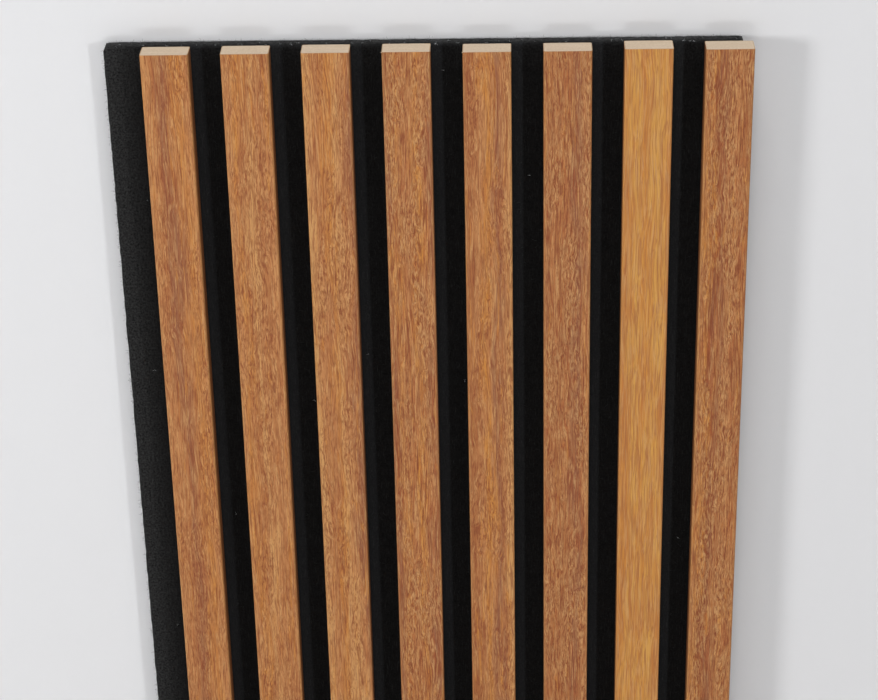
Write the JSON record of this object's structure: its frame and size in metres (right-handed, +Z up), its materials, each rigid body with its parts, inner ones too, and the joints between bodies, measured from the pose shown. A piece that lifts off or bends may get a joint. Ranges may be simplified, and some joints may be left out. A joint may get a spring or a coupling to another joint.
{
  "type": "acoustic slat wall panel",
  "caption": "Upright acoustic wall panel: round-edged wood-veneered slats set side by side with gaps on a black felt board that stands out at one side.",
  "frame": {"origin": "centre of the felt board's back face, which lies on the wall", "axes": "+Z up along the slats, +Y into the wall, +X to the right as seen from the room"},
  "size_m": [0.324, 0.021, 0.6007],
  "materials": {
    "felt": "matt pressed polyester felt",
    "mdf": "raw sawn MDF",
    "veneer": "red-brown wood veneer, matt lacquer",
    "veneer_golden": "golden wood veneer, matt lacquer",
    "staple_wire": "galvanised flat wire"
  },
  "bodies": {
    "root": {"felt_backing": "felt", "slat_core_1": "mdf", "slat_veneer_1": "veneer", "slat_core_2": "mdf", "slat_veneer_2": "veneer", "slat_core_3": "mdf", "slat_veneer_3": "veneer", "slat_core_4": "mdf", "slat_veneer_4": "veneer", "slat_core_5": "mdf", "slat_veneer_5": "veneer", "slat_core_6": "mdf", "slat_veneer_6": "veneer", "slat_core_7": "mdf", "slat_veneer_7": "veneer_golden", "slat_core_8": "mdf", "slat_veneer_8": "veneer", "back_staples": "staple_wire"}
  },
  "joints": []
}
